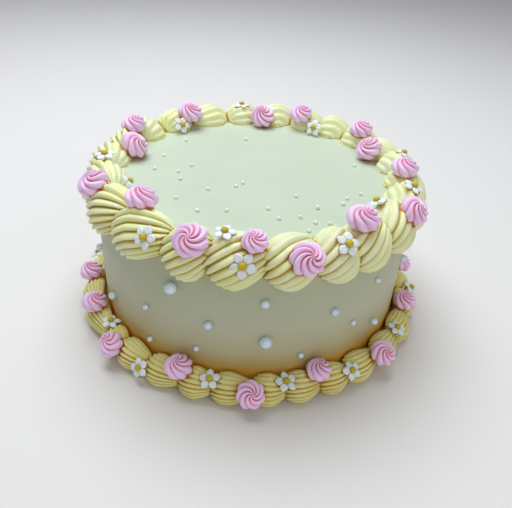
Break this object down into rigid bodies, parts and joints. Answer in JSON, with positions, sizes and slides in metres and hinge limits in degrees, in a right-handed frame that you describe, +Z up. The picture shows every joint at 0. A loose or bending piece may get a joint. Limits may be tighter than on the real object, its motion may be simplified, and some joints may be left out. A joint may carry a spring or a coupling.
{
  "type": "layer cake",
  "caption": "Round layer cake in smooth pale icing, with piped borders round the top and the base, icing roses, small icing blossoms and sugar pearls.",
  "frame": {"origin": "middle of the flat underside of the cake, on the surface it rests on", "axes": "+Z up along the cake's axis; -Y is the side seen in the picture; +X is to the right seen from there"},
  "size_m": [0.2317, 0.2375, 0.1091],
  "materials": {
    "cream_icing": "satin",
    "yellow_icing": "satin",
    "pink_icing": "satin",
    "white_icing": "satin"
  },
  "bodies": {
    "root": {"cake_body": "cream_icing", "top_border": "yellow_icing", "bottom_border": "yellow_icing", "rose_top_01": "pink_icing", "rose_top_02": "pink_icing", "rose_top_03": "pink_icing", "rose_top_04": "pink_icing", "rose_top_05": "pink_icing", "rose_top_06": "pink_icing", "rose_top_07": "pink_icing", "rose_top_08": "pink_icing", "rose_top_09": "pink_icing", "rose_top_10": "pink_icing", "rose_top_11": "pink_icing", "rose_top_12": "pink_icing", "rose_top_13": "pink_icing", "rose_top_14": "pink_icing", "rose_top_15": "pink_icing", "rose_bottom_01": "pink_icing", "rose_bottom_02": "pink_icing", "rose_bottom_03": "pink_icing", "rose_bottom_04": "pink_icing", "rose_bottom_05": "pink_icing", "rose_bottom_06": "pink_icing", "rose_bottom_07": "pink_icing", "rose_bottom_08": "pink_icing", "rose_bottom_09": "pink_icing", "rose_bottom_10": "pink_icing", "rose_bottom_11": "pink_icing", "rose_bottom_12": "pink_icing", "rose_bottom_13": "pink_icing", "rose_bottom_14": "pink_icing", "rose_bottom_15": "pink_icing", "blossom_top_01": "white_icing", "blossom_top_02": "white_icing", "blossom_top_03": "white_icing", "blossom_top_04": "white_icing", "blossom_top_05": "white_icing", "blossom_top_06": "white_icing", "blossom_top_07": "white_icing", "blossom_top_08": "white_icing", "blossom_top_09": "white_icing", "blossom_top_10": "white_icing", "blossom_top_11": "white_icing", "blossom_top_12": "white_icing", "blossom_bottom_01": "white_icing", "blossom_bottom_02": "white_icing", "blossom_bottom_03": "white_icing", "blossom_bottom_04": "white_icing", "blossom_bottom_05": "white_icing", "blossom_bottom_06": "white_icing", "blossom_bottom_07": "white_icing", "blossom_bottom_08": "white_icing", "blossom_bottom_09": "white_icing", "blossom_bottom_10": "white_icing", "blossom_bottom_11": "white_icing", "blossom_bottom_12": "white_icing", "blossom_bottom_13": "white_icing", "blossom_bottom_14": "white_icing", "blossom_bottom_15": "white_icing"}
  },
  "joints": []
}
